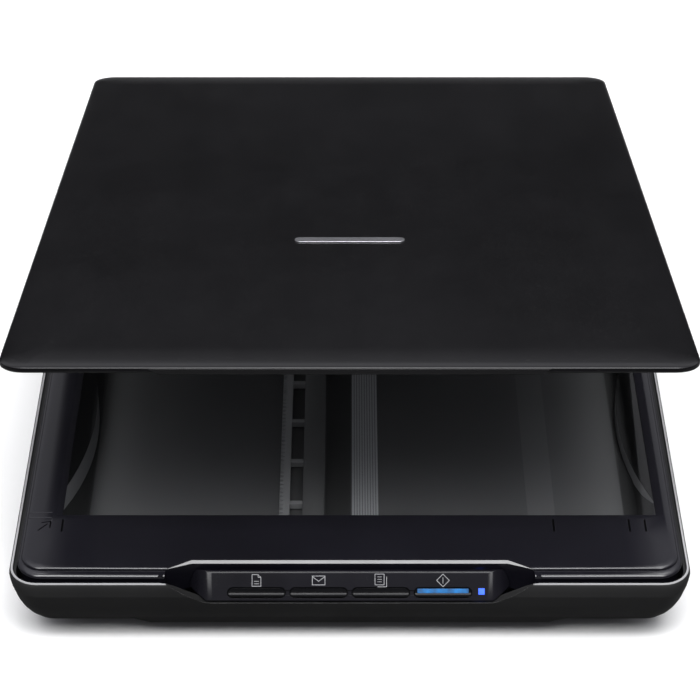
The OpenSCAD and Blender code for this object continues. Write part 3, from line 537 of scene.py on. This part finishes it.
# Dark ink in the grooves that mark the paper's edges and the corner where a page starts.
PAPER_EDGES = [-0.1066, 0.0756, 0.1037, 0.1096]
GROOVE_BED = FRAME_TOP - 0.00021
ARROW_LINE = 0.00048
marks = Shapes(0.00004)
for x in PAPER_EDGES:
    marks.bar((x, -0.1549), (x, -0.1480), 0.00066)
along = Vector((cos(radians(50)), sin(radians(50))))
tip = Vector((-0.1132, -0.1518)) + along * 0.0034
marks.bar(tuple(tip - along * 0.0067), tuple(tip - along * 0.0018), ARROW_LINE)
for turn in (-38, 38):
    wing = Matrix.Rotation(radians(turn), 2) @ -along
    marks.bar(tuple(tip), tuple(tip + wing * 0.0035), ARROW_LINE)
marks.piece("paper_mark_ink", PRINT_BLACK, Matrix.Translation((0, 0, GROOVE_BED)))

# Dark gaps between the flat cable's conductors.
CABLE_MIDDLE = CABLE_LEFT + 0.00515
CABLE_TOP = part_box("ribbon_cable")[0][2] + 0.00029
GAP_PITCH = 0.00105
gaps = Shapes(0.00005)
for k in range(-4, 5):
    x = CABLE_MIDDLE + k * GAP_PITCH
    gaps.bar((x, -0.1565), (x, 0.1566), 0.00028)
gaps.piece("cable_gaps", CONDUCTOR, Matrix.Translation((0, 0, CABLE_TOP)))


# ---------- studio ----------

def floor():
    """A plane that is pale to the camera only, so that it doesn't wash out the black plastic."""
    bpy.ops.mesh.primitive_plane_add(size=6, location=(0, 0, 0))
    o = bpy.context.object
    o.name = "floor"
    n = Nodes("studio_floor")
    pale = n.mix(n.spread(n.noise(3), 0, 1), (0.91, 0.91, 0.91), (0.94, 0.94, 0.94))
    n.colour(n.mix(n.add("ShaderNodeLightPath").outputs["Is Camera Ray"], (0.13, 0.13, 0.13), pale))
    n.roughness(n.spread(n.noise(8), 0.6, 0.7))
    n.set(Specular_IOR_Level=0.2)
    o.data.materials.append(n.material)


def area_light(name, place, size, power):
    """A soft light that faces the object."""
    data = bpy.data.lights.new(name, "AREA")
    data.shape = "RECTANGLE"
    data.size, data.size_y = size
    data.energy = power
    o = bpy.data.objects.new(name, data)
    o.location = place
    o.rotation_euler = (-Vector(place)).to_track_quat("-Z", "Y").to_euler()
    bpy.context.scene.collection.objects.link(o)


def world():
    """A dim room: a bright band behind the object, a darker front, and a bright ceiling in reflections."""
    w = bpy.data.worlds.new("studio")
    bpy.context.scene.world = w
    w.use_nodes = True
    tree = w.node_tree
    tree.nodes.clear()

    def add(kind, **values):
        node = tree.nodes.new(kind)
        for key, value in values.items():
            setattr(node, key, value)
        return node

    def rising(levels):
        """Brightness against height above the horizon."""
        ramp = add("ShaderNodeValToRGB")
        for place, _ in levels[1:-1]:
            ramp.color_ramp.elements.new(place)
        for stop, (_, level) in zip(ramp.color_ramp.elements, levels):
            stop.color = (level, level, level * 1.07, 1)
        tree.links.new(split.outputs["Z"], ramp.inputs["Fac"])
        return ramp.outputs["Color"]

    def mix(factor, a, b):
        node = add("ShaderNodeMix", data_type="RGBA")
        tree.links.new(factor, node.inputs["Factor"])
        tree.links.new(a, node.inputs[6])
        if isinstance(b, tuple):
            node.inputs[7].default_value = b
        else:
            tree.links.new(b, node.inputs[7])
        return node.outputs[2]

    coord = add("ShaderNodeTexCoord")
    split = add("ShaderNodeSeparateXYZ")
    tree.links.new(coord.outputs["Generated"], split.inputs["Vector"])
    behind = rising((
        (0.0, 0.02), (0.15, 0.025), (0.24, 0.16), (0.34, 0.6), (0.5, 0.7), (0.7, 0.45), (1.0, 0.4)
    ))
    ahead = rising(((0.0, 0.05), (0.4, 0.1), (0.68, 0.28), (1.0, 0.3)))
    side = add("ShaderNodeMapRange", interpolation_type="SMOOTHSTEP")
    side.inputs["From Min"].default_value = -0.3
    side.inputs["From Max"].default_value = 0.3
    tree.links.new(split.outputs["Y"], side.inputs["Value"])
    room = mix(side.outputs["Result"], ahead, behind)
    path = add("ShaderNodeLightPath")
    ceiling = rising(((0.0, 0.0), (0.7, 0.0), (0.8, 1.0), (1.0, 1.3)))
    sheen = add("ShaderNodeMix", data_type="RGBA", blend_type="ADD")
    tree.links.new(path.outputs["Is Glossy Ray"], sheen.inputs["Factor"])
    tree.links.new(room, sheen.inputs[6])
    tree.links.new(ceiling, sheen.inputs[7])
    seen = mix(path.outputs["Is Camera Ray"], sheen.outputs[2], (0.86, 0.86, 0.87, 1))
    back = add("ShaderNodeBackground")
    tree.links.new(seen, back.inputs["Color"])
    out = add("ShaderNodeOutputWorld")
    tree.links.new(back.outputs["Background"], out.inputs["Surface"])


def look_from(place, tilt, lens):
    """A long lens in front of the object and above it."""
    data = bpy.data.cameras.new("camera")
    data.lens = lens
    data.sensor_width = 36
    data.clip_start = 0.01
    data.shift_x = 0.0004
    o = bpy.data.objects.new("camera", data)
    o.location = place
    o.rotation_euler = (radians(tilt), 0, 0)
    bpy.context.scene.collection.objects.link(o)
    bpy.context.scene.camera = o


floor()
world()
area_light("overhead_strip", (0, -0.79, 2.05), (1.8, 0.45), 36)
area_light("left_key", (-0.7, -1.2, 1.9), (1.0, 0.7), 14)
area_light("right_key", (0.7, -1.2, 1.9), (1.0, 0.7), 13)
area_light("rear_top", (0.3, 0.4, 2.2), (1.6, 1.0), 22)
look_from((0.0, -0.8393, 0.6133), tilt=53.99, lens=124.457)
bpy.context.scene.view_settings.view_transform = "Standard"
